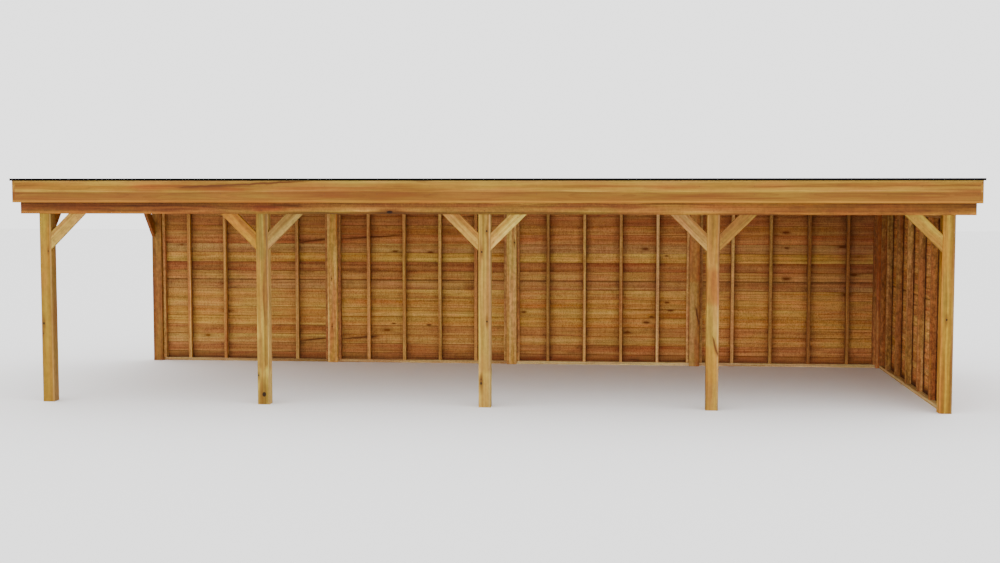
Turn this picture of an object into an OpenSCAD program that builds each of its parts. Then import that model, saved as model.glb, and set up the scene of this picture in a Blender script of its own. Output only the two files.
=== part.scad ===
// Freestanding timber veranda, four bays wide, with a flat roof.
// The back and the right-hand side are closed with stud walls and horizontal boarding.
// Millimetres. X runs along the front, Y from front to back, Z up.
// Origin: on the ground, under the middle of the roof.

/* [Layout] */
// Distance between the centres of neighbouring posts along the front
bay_w = 2500; // [2000:50:3000]
// Distance between the centres of the front row and the back row of posts
row_gap = 3775; // [3000:25:4500]
// Height from the ground to the underside of the beams
clear_h = 2144; // [2000:1:2500]

/* [Posts and beams] */
// Side of a square post
post_w = 135; // [110:5:160]
// Chamfer along the edges of a post
post_arris = 6; // [2:1:12]
// Height of a beam
beam_h = 195; // [145:5:245]
// Thickness of a beam, which is how deep it is housed into the outer face of the posts
beam_t = 70; // [45:5:80]
// Chamfer along the edges of beams, braces and fascia boards
plank_arris = 4; // [1:1:8]

/* [Knee braces] */
// Leg of a brace along the post and along the beam, measured to its lower edge
brace_leg = 398; // [300:2:500]
// Width of a brace plank
brace_w = 135; // [90:5:150]
// Thickness of a brace plank
brace_t = 45; // [30:5:60]

/* [Walls] */
// Width of a stud and height of a plate
stud_w = 40; // [35:1:50]
// Depth of studs and plates
stud_d = 70; // [45:5:80]
// Spaces between studs in one bay of the back wall
stud_spaces = 5; // [4:1:7]
// Distance between the centres of the studs of the side wall
side_stud_pitch = 655; // [400:1:700]
// Distance from the back corner post to the centre of the nearest free stud of the side wall
side_stud_first = 414; // [300:1:500]
// Thickness of the boarding
board_t = 20; // [16:1:24]
// Gap between the ground and the boarding
board_lift = 5; // [5:1:30]

/* [Roof] */
// Overhang from the outer face of the front and back posts to the face of the fascia
eave_out = 150; // [120:5:400]
// Overhang from the outer face of the end posts to the face of the side fascia
verge_out = 243; // [120:1:400]
// Thickness of a joist
joist_t = 45; // [38:1:60]
// Height of a joist
joist_h = 145; // [120:5:195]
// Largest distance between the centres of joists
joist_pitch = 600; // [400:10:700]
// Thickness of the roof deck
deck_t = 18; // [15:1:28]
// Thickness of the roof membrane
membrane_t = 2; // [1:0.5:3]
// Width of the kerb batten on the edge of the deck
kerb_w = 45; // [35:1:60]
// Height of the kerb batten
kerb_h = 35; // [25:1:60]
// Thickness of a fascia board
fascia_t = 30; // [20:1:36]
// How far the fascia hangs below the top of the beams
fascia_drop = 67; // [20:1:120]
// Overhang of the roof trim beyond the fascia
trim_out = 20; // [10:1:40]
// Height of the nose of the roof trim
trim_h = 25; // [15:1:40]
// Thickness of the flange of the roof trim
trim_t = 3; // [2:0.5:5]

/* [Hidden] */

// Sides of the plan
FRONT = -1;
BACK = 1;
LEFT = -1;
RIGHT = 1;
// Four bays stand between five rows of posts
post_rows = 5;
last_post = post_rows;

// Levels
beam_top = clear_h + beam_h;
joist_top = beam_top + joist_h;
deck_top = joist_top + deck_t;
kerb_top = deck_top + kerb_h;
trim_top = kerb_top + trim_t;
fascia_foot = beam_top - fascia_drop;

// Half widths of the plan, from the middle outwards
post_out_x = bay_w * (post_rows - 1) / 2 + post_w / 2;
post_out_y = row_gap / 2 + post_w / 2;
fascia_out_x = post_out_x + verge_out;
fascia_out_y = post_out_y + eave_out;
fascia_in_x = fascia_out_x - fascia_t;
fascia_in_y = fascia_out_y - fascia_t;

// Clear widths between posts
bay_open = bay_w - post_w;
side_open = row_gap - post_w;

// The boarding lies flush with the outer face of the posts, so the studs stand back from
// the inner face by what is left of the post
wall_inset = post_w - stud_d - board_t;

// Reach of the roof trim's flange over the fascia, the kerb and the edge of the membrane
flange_in = fascia_t + kerb_w + membrane_t;

// Braces stand at this angle to post and beam
brace_slope = 45;

// Small overshoot for cutting tools
cut = 1;

// Middle of post row i, counted from the left
function post_x(i) = (i - (post_rows + 1) / 2) * bay_w;

// Centres of the free studs of a back wall bay, from the left post's inner face.
// In the end bays the spacing is taken from the outer face of the corner post.
function end_bay(bay) = bay == 1 || bay == post_rows - 1;
function stud_pitch(bay) = (bay_w + (end_bay(bay) ? post_w / 2 : 0)) / stud_spaces;
function stud_offset(bay) = bay == 1 ? -post_w : -post_w / 2;
function bay_studs(bay) =
    [for (k = [1 : stud_spaces - 1]) stud_offset(bay) + k * stud_pitch(bay)];

// Centres of the free studs of the side wall, from the front post's inner face
side_stud_count = floor((side_open - 2 * side_stud_first) / side_stud_pitch) + 1;
side_studs =
    [for (k = [0 : side_stud_count - 1]) side_open - side_stud_first - k * side_stud_pitch];

// Middle lines of the joists, edge joists included
joist_span = 2 * fascia_in_x - joist_t;
joist_spaces = ceil(joist_span / joist_pitch);
function joist_x(k) = -joist_span / 2 + k * joist_span / joist_spaces;

// ---- Sections -------------------------------------------------------------

// Rectangle from the origin with its four corners cut off
module planed_section(w, h, arris) {
    polygon([
        [arris, 0], [w - arris, 0], [w, arris], [w, h - arris],
        [w - arris, h], [arris, h], [0, h - arris], [0, arris]
    ]);
}

// Planed timber of section w (along Y) by h (along Z), laid along X from the origin
module planed_timber(length, w, h, arris) {
    rotate([90, 0, 90]) linear_extrude(length) planed_section(w, h, arris);
}

// ---- Posts and beams ------------------------------------------------------

// Post with its head cut back on the outer face, so that the beam seats flush in it.
// A corner post is cut back on two faces and carries the side beam as well.
module post(i, row) {
    outward = i == 1 ? LEFT : RIGHT;
    translate([post_x(i), row * row_gap / 2, 0])
    difference() {
        translate([-post_w / 2, -post_w / 2, 0])
            linear_extrude(beam_top) planed_section(post_w, post_w, post_arris);
        beam_housing(row);
        if (i == 1 || i == last_post) rotate([0, 0, -90]) beam_housing(outward);
    }
}

// Cutting block for the beam on the +Y or the -Y face of a post
module beam_housing(towards) {
    housing = beam_t + cut;
    translate([0, towards * (post_w / 2 - beam_t + housing / 2), clear_h + (beam_h + cut) / 2])
        cube([post_w + 2 * cut, housing, beam_h + cut], center = true);
}

// Beam along the front or the back, its outer face flush with the posts
module long_beam(row) {
    y = row == FRONT ? -post_out_y : post_out_y - beam_t;
    translate([-fascia_in_x, y, clear_h])
        planed_timber(2 * fascia_in_x, beam_t, beam_h, plank_arris);
}

// Beam from front to back at one end, between the two long beams
module side_beam(side) {
    length = 2 * (post_out_y - beam_t);
    x = side == LEFT ? -post_out_x + beam_t : post_out_x;
    translate([x, -length / 2, clear_h])
        rotate([0, 0, 90]) planed_timber(length, beam_t, beam_h, plank_arris);
}

// ---- Knee braces ----------------------------------------------------------

// Slanting plank, cut to seat flat on a post (X = 0) and under a beam (Z = 0).
// It reaches in +X and -Z, and is brace_t thick in +Y.
module knee_brace() {
    lower_edge = brace_leg * cos(brace_slope);
    intersection() {
        rotate([0, brace_slope, 0])
            translate([lower_edge - brace_w, 0, -brace_leg])
                linear_extrude(brace_leg + lower_edge + cut)
                    planed_section(brace_w, brace_t, plank_arris);
        translate([0, -cut, -brace_leg])
            cube([brace_leg, brace_t + 2 * cut, brace_leg]);
    }
}

// Brace in the front row, on the left or the right of a post
module front_brace(i, side) {
    translate([post_x(i) + side * post_w / 2, -post_out_y, clear_h])
        mirror([side == LEFT ? 1 : 0, 0, 0]) knee_brace();
}

// Brace in the open left side, at the front or at the back post
module side_brace(row) {
    inner_y = row * (row_gap / 2 - post_w / 2);
    translate([-post_out_x, inner_y, clear_h])
        mirror([0, row == BACK ? 1 : 0, 0])
            rotate([0, 0, 90]) mirror([0, 1, 0]) knee_brace();
}

// ---- Walls ----------------------------------------------------------------

// Frame of plates and studs: X along the wall, Y from the inner face outwards
module stud_frame(length, studs) {
    cube([length, stud_d, stud_w]);
    translate([0, 0, clear_h - stud_w]) cube([length, stud_d, stud_w]);
    for (x = concat([stud_w / 2], studs, [length - stud_w / 2]))
        translate([x - stud_w / 2, 0, 0]) cube([stud_w, stud_d, clear_h]);
}

// Boarding on the outer face of a frame
module boarding(length) {
    translate([0, stud_d, board_lift]) cube([length, board_t, clear_h - board_lift]);
}

// Puts a wall piece between two back posts
module in_back_bay(bay) {
    translate([post_x(bay) + post_w / 2, row_gap / 2 - post_w / 2 + wall_inset, 0]) children();
}

// Puts a wall piece between the two posts of the right-hand side
module in_right_side() {
    translate([post_out_x - post_w + wall_inset, -side_open / 2, 0])
        mirror([1, 0, 0]) rotate([0, 0, 90]) children();
}

module back_frame(bay) {
    in_back_bay(bay) stud_frame(bay_open, bay_studs(bay));
}

module back_boarding(bay) {
    in_back_bay(bay) boarding(bay_open);
}

module side_frame() {
    in_right_side() stud_frame(side_open, side_studs);
}

module side_boarding() {
    in_right_side() boarding(side_open);
}

// ---- Roof -----------------------------------------------------------------

// Joists from front to back, their ends against the fascia boards
module roof_joists() {
    length = 2 * fascia_in_y;
    for (k = [0 : joist_spaces])
        translate([joist_x(k) - joist_t / 2, -length / 2, beam_top])
            cube([joist_t, length, joist_h]);
}

// Deck with the kerb battens that raise its edge
module roof_deck() {
    w = 2 * fascia_in_x;
    d = 2 * fascia_in_y;
    translate([-w / 2, -d / 2, joist_top])
    difference() {
        cube([w, d, deck_t + kerb_h]);
        translate([kerb_w, kerb_w, deck_t]) cube([w - 2 * kerb_w, d - 2 * kerb_w, kerb_h + cut]);
    }
}

// Membrane laid on the deck and turned up against the kerb
module roof_membrane() {
    w = 2 * (fascia_in_x - kerb_w);
    d = 2 * (fascia_in_y - kerb_w);
    translate([-w / 2, -d / 2, deck_top])
    difference() {
        cube([w, d, kerb_h]);
        translate([membrane_t, membrane_t, membrane_t])
            cube([w - 2 * membrane_t, d - 2 * membrane_t, kerb_h]);
    }
}

// Fascia board along the front or the back, between the side fascias
module long_fascia(row) {
    y = row == FRONT ? -fascia_out_y : fascia_in_y;
    translate([-fascia_in_x, y, fascia_foot])
        planed_timber(2 * fascia_in_x, fascia_t, kerb_top - fascia_foot, plank_arris);
}

// Fascia board along one end
module side_fascia(side) {
    x = side == LEFT ? -fascia_in_x : fascia_out_x;
    translate([x, -fascia_out_y, fascia_foot])
        rotate([0, 0, 90])
            planed_timber(2 * fascia_out_y, fascia_t, kerb_top - fascia_foot, plank_arris);
}

// Section of the roof trim: a nose in front of the fascia and a flange over the kerb.
// X = 0 is the face of the fascia, Y = 0 the top of fascia and kerb.
module trim_section() {
    polygon([
        [-trim_out, trim_t - trim_h], [0, trim_t - trim_h], [0, 0],
        [flange_in, 0], [flange_in, trim_t], [-trim_out, trim_t]
    ]);
}

// Roof trim along one edge of a roof, mitred at both ends.
// half_run is the half length of the edge, reach the distance from the middle to the fascia.
module trim(half_run, reach) {
    run = half_run + trim_out;
    inner = reach - flange_in;
    outer = reach + trim_out;
    taper = outer - inner;
    intersection() {
        translate([-run, -reach, kerb_top])
            rotate([90, 0, 90]) linear_extrude(2 * run) trim_section();
        translate([0, 0, kerb_top - trim_h])
            linear_extrude(2 * trim_h)
                polygon([[-run, -outer], [run, -outer], [run - taper, -inner], [taper - run, -inner]]);
    }
}

// ---- Nodes ----------------------------------------------------------------

module timber() {
    color([0.70, 0.52, 0.28]) children();
}

module beam_timber() {
    color([0.60, 0.38, 0.18]) children();
}

module wall_timber() {
    color([0.55, 0.36, 0.19]) children();
}

module black_finish() {
    color([0.06, 0.05, 0.05]) children();
}

timber() post(1, FRONT);  // front_post_1
timber() post(2, FRONT);  // front_post_2
timber() post(3, FRONT);  // front_post_3
timber() post(4, FRONT);  // front_post_4
timber() post(5, FRONT);  // front_post_5
timber() post(1, BACK);  // back_post_1
timber() post(2, BACK);  // back_post_2
timber() post(3, BACK);  // back_post_3
timber() post(4, BACK);  // back_post_4
timber() post(5, BACK);  // back_post_5
beam_timber() long_beam(FRONT);  // front_beam
beam_timber() long_beam(BACK);  // back_beam
beam_timber() side_beam(LEFT);  // left_beam
beam_timber() side_beam(RIGHT);  // right_beam
timber() front_brace(1, RIGHT);  // brace_1_right
timber() front_brace(2, LEFT);  // brace_2_left
timber() front_brace(2, RIGHT);  // brace_2_right
timber() front_brace(3, LEFT);  // brace_3_left
timber() front_brace(3, RIGHT);  // brace_3_right
timber() front_brace(4, LEFT);  // brace_4_left
timber() front_brace(4, RIGHT);  // brace_4_right
timber() front_brace(5, LEFT);  // brace_5_left
timber() side_brace(FRONT);  // side_brace_front
timber() side_brace(BACK);  // side_brace_back
wall_timber() back_frame(1);  // back_frame_1
wall_timber() back_frame(2);  // back_frame_2
wall_timber() back_frame(3);  // back_frame_3
wall_timber() back_frame(4);  // back_frame_4
wall_timber() side_frame();
wall_timber() back_boarding(1);  // back_boarding_1
wall_timber() back_boarding(2);  // back_boarding_2
wall_timber() back_boarding(3);  // back_boarding_3
wall_timber() back_boarding(4);  // back_boarding_4
wall_timber() side_boarding();
timber() roof_joists();
timber() roof_deck();
black_finish() roof_membrane();
beam_timber() long_fascia(FRONT);  // front_fascia
beam_timber() long_fascia(BACK);  // back_fascia
beam_timber() side_fascia(LEFT);  // left_fascia
beam_timber() side_fascia(RIGHT);  // right_fascia
black_finish() trim(fascia_out_x, fascia_out_y);  // front_trim
black_finish() rotate([0, 0, 180]) trim(fascia_out_x, fascia_out_y);  // back_trim
black_finish() rotate([0, 0, -90]) trim(fascia_out_y, fascia_out_x);  // left_trim
black_finish() rotate([0, 0, 90]) trim(fascia_out_y, fascia_out_x);  // right_trim
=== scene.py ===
"""Freestanding timber veranda: boards, studs, fixings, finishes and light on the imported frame.

Metres, with X along the open front, Y from front to back and Z up, as in the frame.
"""
import math
import random

import bpy
from mathutils import Euler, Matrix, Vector


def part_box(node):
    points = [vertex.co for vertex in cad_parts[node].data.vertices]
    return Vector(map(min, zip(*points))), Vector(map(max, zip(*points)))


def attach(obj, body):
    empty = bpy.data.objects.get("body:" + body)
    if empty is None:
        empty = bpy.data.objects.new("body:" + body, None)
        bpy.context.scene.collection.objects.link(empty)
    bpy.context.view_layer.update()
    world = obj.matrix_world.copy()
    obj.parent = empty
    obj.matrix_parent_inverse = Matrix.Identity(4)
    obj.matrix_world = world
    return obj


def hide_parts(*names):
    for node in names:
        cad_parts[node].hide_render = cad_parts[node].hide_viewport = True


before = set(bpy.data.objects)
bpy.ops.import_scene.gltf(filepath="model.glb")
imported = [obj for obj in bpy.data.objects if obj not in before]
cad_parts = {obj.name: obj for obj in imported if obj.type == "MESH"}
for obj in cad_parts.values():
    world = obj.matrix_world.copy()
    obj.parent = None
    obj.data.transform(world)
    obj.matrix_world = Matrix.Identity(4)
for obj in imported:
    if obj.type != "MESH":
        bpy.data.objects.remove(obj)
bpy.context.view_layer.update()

# ---- Camera ---------------------------------------------------------------

# A 50 mm lens in front of the middle bays, turned a little to the left; angles in degrees
CAMERA_PLACE = (1.508, -17.182, 2.458)
CAMERA_TILT = 86.059
CAMERA_PAN = 5.014


def new_object(name, data):
    """An object of the scene."""
    made = bpy.data.objects.new(name, data)
    bpy.context.scene.collection.objects.link(made)
    return made


def place_camera():
    data = bpy.data.cameras.new("camera")
    data.lens = 50.0
    data.sensor_width = 36.0
    camera = new_object("camera", data)
    camera.location = CAMERA_PLACE
    camera.rotation_euler = Euler((math.radians(CAMERA_TILT), 0.0, math.radians(CAMERA_PAN)))
    bpy.context.scene.camera = camera


place_camera()

# ---- Sizes that the frame doesn't give -------------------------------------

POSTS = 5
STUD_SPACES = 5
SIDE_STUD_PITCH = 0.655
SIDE_STUD_FIRST = 0.414
STUD_W = 0.040
BRACE_W = 0.135
# Arris taken off sawn timber
ARRIS = 0.0015
# Wall boards: one to a pitch, with a gap above the rebate, a lower lip and a thin upper edge
BOARD_PITCH = 0.127
BOARD_GAP = 0.003
BOARD_LAP = 0.012
BOARD_TOP_T = 0.009
REBATE_PLAY = 0.001
# Height of the joint between two boards that stands open, and of the edge over it, which gets a painted
# highlight
OPEN_JOINT = 1.146
OPEN_JOINT_LIT = OPEN_JOINT + 0.027
# Height from which the plates lie in the shadow of the beams
HEAD_LEVEL = 2.0
# Width of a sheet of roofing and of the lap at its seam
SHEET_W = 1.333
SHEET_LAP = 0.08

# ---- Node building ---------------------------------------------------------


def operation(name, turned=False):
    """A method of Wire for one operation, turned round where the wire comes second."""
    def method(self, *others):
        values = (self, *others)
        return self.graph.reckon(name, *(values[::-1] if turned else values))
    return method


class Wire:
    """An output of a node, reckoned with like a number or, if it is one, like a vector."""

    def __init__(self, graph, socket):
        self.graph = graph
        self.socket = socket

    __add__ = operation("ADD")
    __radd__ = operation("ADD", turned=True)
    __sub__ = operation("SUBTRACT")
    __rsub__ = operation("SUBTRACT", turned=True)
    __mul__ = operation("MULTIPLY")
    __rmul__ = operation("MULTIPLY", turned=True)
    __truediv__ = operation("DIVIDE")
    __lt__ = operation("LESS_THAN")
    __gt__ = operation("GREATER_THAN")
    __abs__ = operation("ABSOLUTE")


def is_vector(value):
    return isinstance(value, (tuple, Vector)) or isinstance(value, Wire) and value.socket.type == "VECTOR"


class Graph:
    """Adds nodes to a tree and hands back wires from their outputs."""

    def __init__(self, tree):
        self.tree = tree

    def set(self, socket, value):
        """Joins a wire to a socket, or sets it to a plain value; colours have three parts."""
        if isinstance(value, Wire):
            self.tree.links.new(value.socket, socket)
        elif value is not None:
            socket.default_value = (*value, 1.0) if socket.type == "RGBA" else value

    def node(self, kind, inputs=None, **settings):
        """A new node with its settings, and its inputs by name or number."""
        made = self.tree.nodes.new(kind)
        for key, value in settings.items():
            setattr(made, key, value)
        for key, value in (inputs or {}).items():
            self.set(made.inputs[key], value)
        return made

    def wire(self, kind, output, inputs=None, **settings):
        """A wire from one output of a new node."""
        return Wire(self, self.node(kind, inputs, **settings).outputs[output])

    def wires(self, node):
        """Wires from a node's outputs, by name."""
        return {socket.name: Wire(self, socket) for socket in node.outputs}

    def math(self, operation, *values, clamp=False):
        inputs = dict(enumerate(values))
        return self.wire("ShaderNodeMath", 0, inputs, operation=operation, use_clamp=clamp)

    def vector(self, operation, *values, output="Vector"):
        return self.wire("ShaderNodeVectorMath", output, dict(enumerate(values)), operation=operation)

    def reckon(self, operation, *values):
        """One step on numbers, or on vectors where any of the values is one."""
        step = self.vector if any(map(is_vector, values)) else self.math
        return step(operation, *values)

    def length(self, a):
        return self.vector("LENGTH", a, output="Value")

    def along(self, a, unit):
        """How far a vector reaches along another of length 1."""
        return self.vector("DOT_PRODUCT", a, unit, output="Value")

    def split(self, a):
        return [Wire(self, socket) for socket in self.node("ShaderNodeSeparateXYZ", {0: a}).outputs]

    def joined(self, x, y, z):
        return self.wire("ShaderNodeCombineXYZ", 0, {0: x, 1: y, 2: z})

    def here(self):
        """The place on the object, in metres."""
        return self.wire("ShaderNodeTexCoord", "Object")

    def noise(self, place, scale=1.0, detail=2.0, roughness=0.5, output="Fac"):
        """Noise of one scale, or of one for each axis."""
        if isinstance(scale, tuple):
            place, scale = place * scale, 1.0
        inputs = {"Vector": place, "Scale": scale, "Detail": detail, "Roughness": roughness}
        return self.wire("ShaderNodeTexNoise", output, inputs)

    def wander(self, place, scale, reach, detail=2.0):
        """A vector of noise that strays to both sides, by up to half of reach on each axis."""
        return (self.noise(place, scale, detail, output="Color") - (0.5, 0.5, 0.5)) * reach

    def ramp(self, value, low, high, to_low=0.0, to_high=1.0):
        """Smooth step from to_low at low to to_high at high."""
        inputs = {"Value": value, "From Min": low, "From Max": high, "To Min": to_low, "To Max": to_high}
        return self.wire("ShaderNodeMapRange", "Result", inputs, interpolation_type="SMOOTHSTEP")

    def band(self, value, middle, outer, inner):
        """1 within inner of the middle, 0 beyond outer."""
        return self.ramp(abs(value - middle), outer, inner)

    def mix(self, factor, a, b, blend="MIX"):
        return self.wire("ShaderNodeMix", 2, {0: factor, 6: a, 7: b}, data_type="RGBA", blend_type=blend)

    def stained(self, colour, tint, factor=1.0):
        """A colour multiplied by a tint, as far as factor says: the wood's own tints, and in places painted
        light and shade.
        """
        return self.mix(factor, colour, tint, "MULTIPLY")

    def tinted(self, colour, hue=0.5, saturation=1.0, value=1.0):
        inputs = {"Hue": hue, "Saturation": saturation, "Value": value, "Color": colour}
        return self.wire("ShaderNodeHueSaturation", 0, inputs)

    def bump(self, shader, height, strength, distance):
        """Gives a shader relief."""
        inputs = {"Height": height, "Strength": strength, "Distance": distance}
        self.set(shader["Normal"], self.wire("ShaderNodeBump", 0, inputs))


def add_sockets(tree, direction, kinds):
    for name, kind in kinds.items():
        tree.interface.new_socket(name, in_out=direction, socket_type="NodeSocket" + kind)


def new_material(name, gloss):
    """A material with nodes; returns it with its graph and its shader's inputs."""
    material = bpy.data.materials.new(name)
    material.use_nodes = True
    shader = material.node_tree.nodes["Principled BSDF"].inputs
    shader["Specular IOR Level"].default_value = gloss
    return material, Graph(material.node_tree), shader


def srgb(red, green, blue):
    """A screen colour from 0 to 255 as a linear shader colour."""
    def linear(c):
        c /= 255
        return c / 12.92 if c <= 0.04045 else ((c + 0.055) / 1.055) ** 2.4
    return linear(red), linear(green), linear(blue)


# ---- Wood ------------------------------------------------------------------

WOOD_INPUTS = {
    "Place": "Vector", "Tone": "Float", "Pale": "Color", "Deep": "Color", "Dark": "Color",
    "Knots": "Float", "Sawn": "Float", "Bands": "Float", "Streaks": "Float", "Cracks": "Float",
    "Mottle": "Float",
}
WOOD_OUTPUTS = {"Color": "Color", "Roughness": "Float", "Height": "Float"}
RINGS_PER_METRE = 145.0
# Range of places along its log at which a timber starts, and range of the tones of logs
LOG_START = (3, 40)
TONE_RANGE = 9.0


def wood_group():
    """Solid wood in metres: X along the grain, the heart of the tree on the X axis.

    Growth rings lie round the X axis, so that faces show flames and ends show rings.
    """
    tree = bpy.data.node_groups.new("wood", "ShaderNodeTree")
    add_sockets(tree, "INPUT", WOOD_INPUTS)
    add_sockets(tree, "OUTPUT", WOOD_OUTPUTS)
    g = Graph(tree)
    given = g.wires(g.node("NodeGroupInput"))
    result = g.node("NodeGroupOutput").inputs
    place, sawn, dark = given["Place"], given["Sawn"], given["Dark"]

    # Knots: one to a cell, cells longer along the grain, and most of them left empty
    cell = (2.0, 7.0, 7.0)
    inputs = {"Vector": place * cell, "Scale": 1.0}
    cells = g.wires(g.node("ShaderNodeTexVoronoi", inputs, feature="F1"))
    offset = place - cells["Position"] / cell
    distance = g.length(offset * g.joined(sawn * -0.55 + 0.85, 1.0, 1.0))
    drawn = g.split(cells["Color"])
    kept = given["Knots"] > drawn[0]
    radius = drawn[1] * 0.012 + 0.007
    knot = g.ramp(distance, radius * 1.4, radius) * kept
    halo = g.ramp(g.length(offset * (0.3, 1.0, 1.0)), 0.045, 0.008) * kept
    flow = g.ramp(distance, 0.12, 0.0) * kept

    # Wavering of the fibres, pushed aside round a knot
    bent = place + g.wander(place, (0.7, 3.5, 3.5), (0.0, 0.05, 0.05))
    x, y, z = g.split(bent)
    radial = g.length(g.joined(0.0, y, z)) + flow * 0.016

    # Broad heartwood and sapwood bands, then growth rings, then fine fibres
    bands = g.noise(g.joined(x * 0.15, radial * 26.0, given["Tone"]), detail=3.0, roughness=0.55)
    patches = g.noise(bent, (0.6, 11.0, 11.0), detail=3.0, roughness=0.55)
    broad = bands * 0.55 + patches * 0.45
    deep = g.ramp(broad, 0.5 - given["Bands"], 0.5 + given["Bands"])
    late = g.math("POWER", g.math("FRACT", radial * RINGS_PER_METRE), 3.0)
    fibre = g.noise(bent, (3.0, 170.0, 170.0), detail=4.0, roughness=0.65)
    streak = g.ramp(g.noise(bent, (0.45, 34.0, 34.0)), 0.56, 0.74)
    blush = g.noise(place, (1.6, 9.0, 9.0))

    # Drying cracks: short dark lines along the grain
    split = abs(g.noise(bent, (0.35, 13.0, 13.0), detail=0.0) - 0.5)
    where = g.ramp(g.noise(place, (1.1, 5.0, 5.0)), 0.62, 0.70)
    crack = g.ramp(split, 0.009, 0.002) * where * given["Cracks"]

    # Saw marks and specks of rough timber
    fuzz = g.noise(place, (75.0, 60.0, 60.0), roughness=0.7)
    speck = g.ramp(fuzz, 0.50, 0.64) * sawn
    pale_speck = g.ramp(fuzz, 0.47, 0.36) * sawn
    mark = g.noise(place, (160.0, 8.0, 8.0), detail=1.0)
    blotch = g.noise(place, (6.0, 17.0, 17.0), detail=4.0, roughness=0.6)
    layer = g.noise(bent, (0.5, 48.0, 48.0), detail=3.0, roughness=0.6)
    score = g.noise(place, (38.0, 7.0, 7.0), roughness=0.6)
    uneven = (blotch * 0.3 + layer * 0.7) * 0.8 + score * 0.2
    mottle = g.noise(place, (17.0, 30.0, 30.0), detail=3.0, roughness=0.65)

    colour = g.mix(deep, given["Pale"], given["Deep"])
    colour = g.mix(late * given["Streaks"] * 0.5, colour, dark)
    colour = g.mix(streak * given["Streaks"], colour, dark)
    hue = g.ramp(blush, 0.3, 0.7, 0.49, 0.512)
    colour = g.tinted(colour, hue=hue, value=g.ramp(fibre, 0.2, 0.8, 0.85, 1.15))
    spread = sawn * 0.34
    colour = g.tinted(colour, value=g.ramp(uneven, 0.38, 0.62, 1.0 - spread, 1.0 + spread))
    spread = given["Mottle"]
    colour = g.tinted(colour, value=g.ramp(mottle, 0.36, 0.64, 1.0 - spread, 1.0 + spread))
    colour = g.mix(speck * 0.5, colour, dark)
    colour = g.mix(pale_speck * 0.35, colour, given["Pale"])
    colour = g.mix(halo * 0.45, colour, dark)
    colour = g.mix(knot * 0.85, colour, srgb(106, 58, 14))
    colour = g.mix(crack * 0.85, colour, srgb(58, 30, 12))
    g.set(result["Color"], colour)

    rough = g.ramp(fibre, 0.2, 0.8, 0.55, 0.7)
    g.set(result["Roughness"], g.math("ADD", rough, sawn * 0.2, clamp=True))
    g.set(result["Height"], fibre * 0.35 + late * 0.20 + (fuzz + mark) * sawn - crack * 2.0)
    return tree


WOOD = wood_group()

# Screen colour of the heartwood in the lower half of the fascias
FASCIA_HEARTWOOD = (110, 60, 10)
# Screen colours of each finish: pale wood, deep wood, dark streaks
TONES = {
    "post": ((175, 134, 40), (125, 82, 15), (89, 47, 5)),
    "post_orange": ((186, 141, 64), (150, 93, 31), (104, 59, 17)),
    "beam": ((179, 125, 40), (113, 67, 16), (68, 35, 4)),
    "fascia": ((154, 113, 36), (116, 68, 13), (76, 40, 4)),
    "brace": ((174, 133, 52), (135, 87, 23), (102, 56, 11)),
    "brace_deep": ((162, 109, 26), (131, 77, 13), (90, 46, 5)),
    "wall": ((180, 140, 78), (148, 95, 46), (82, 43, 16)),
    "stud": ((211, 167, 93), (170, 119, 59), (107, 64, 28)),
    "roof": ((179, 136, 70), (150, 104, 46), (117, 74, 30)),
    # side studs darker and side-wall boards paler than those of the back walls: painted shade on the studs,
    # which catch the low sun, and painted light on the boards, which lie in shade between them
    "side_stud": ((173, 125, 68), (139, 88, 41), (86, 47, 18)),
    "side_wall": ((201, 148, 81), (165, 100, 47), (91, 45, 16)),
    # studs beside the posts, darker than the free studs: partly painted shade of the posts
    "edge": ((177, 132, 76), (141, 93, 47), (89, 49, 21)),
    "plate": ((194, 167, 108), (156, 119, 69), (98, 65, 34)),
}


def wood(name, tones, knots=0.25, sawn=0.0, bands=0.10, streaks=0.4, cracks=0.6, mottle=0.0, relief=0.002):
    """A material of wood; returns it with its graph, its shader, and its wood's inputs and colour."""
    material, g, shader = new_material(name, gloss=0.16)
    inputs = {"Knots": knots, "Sawn": sawn, "Bands": bands}
    inputs |= {"Streaks": streaks, "Cracks": cracks, "Mottle": mottle}
    for part, colour in zip(("Pale", "Deep", "Dark"), TONES[tones]):
        inputs[part] = srgb(*colour)
    group = g.node("ShaderNodeGroup", inputs, node_tree=WOOD)
    made = g.wires(group)
    g.bump(shader, made["Height"], 0.6, relief)
    g.set(shader["Roughness"], made["Roughness"])
    return material, g, shader, group.inputs, made["Color"]


def knot_mark(g, place, colour, dark, x, z, radius, flat=0.8, worn=False):
    """A knot seen on the faces along X, with darker wood drawn out along the grain.

    A flat of under 1 makes it tall, as on a post; over 1 makes it an eye lying along a board.
    A worn one, on rough boards, is longer, softer and browner.
    """
    core, around, depth = (0.5, 0.6, 0.8) if worn else (1.0, 0.35, 0.94)
    middle_colour = srgb(84, 32, 0) if worn else srgb(26, 10, 2)
    drawn = (1.0, 0.0, flat * 0.3) if flat < 1 else (around, 0.0, flat * 0.8)
    offset = place - (x, 0.0, z)
    near = g.length(offset * (core, 0.0, flat))
    far = g.length(offset * drawn)
    colour = g.mix(g.ramp(far, 2.6 * radius, 0.7 * radius, 0.0, 0.6), colour, dark)
    return g.mix(g.ramp(near, 1.1 * radius, 0.7 * radius, 0.0, depth), colour, middle_colour)


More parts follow.
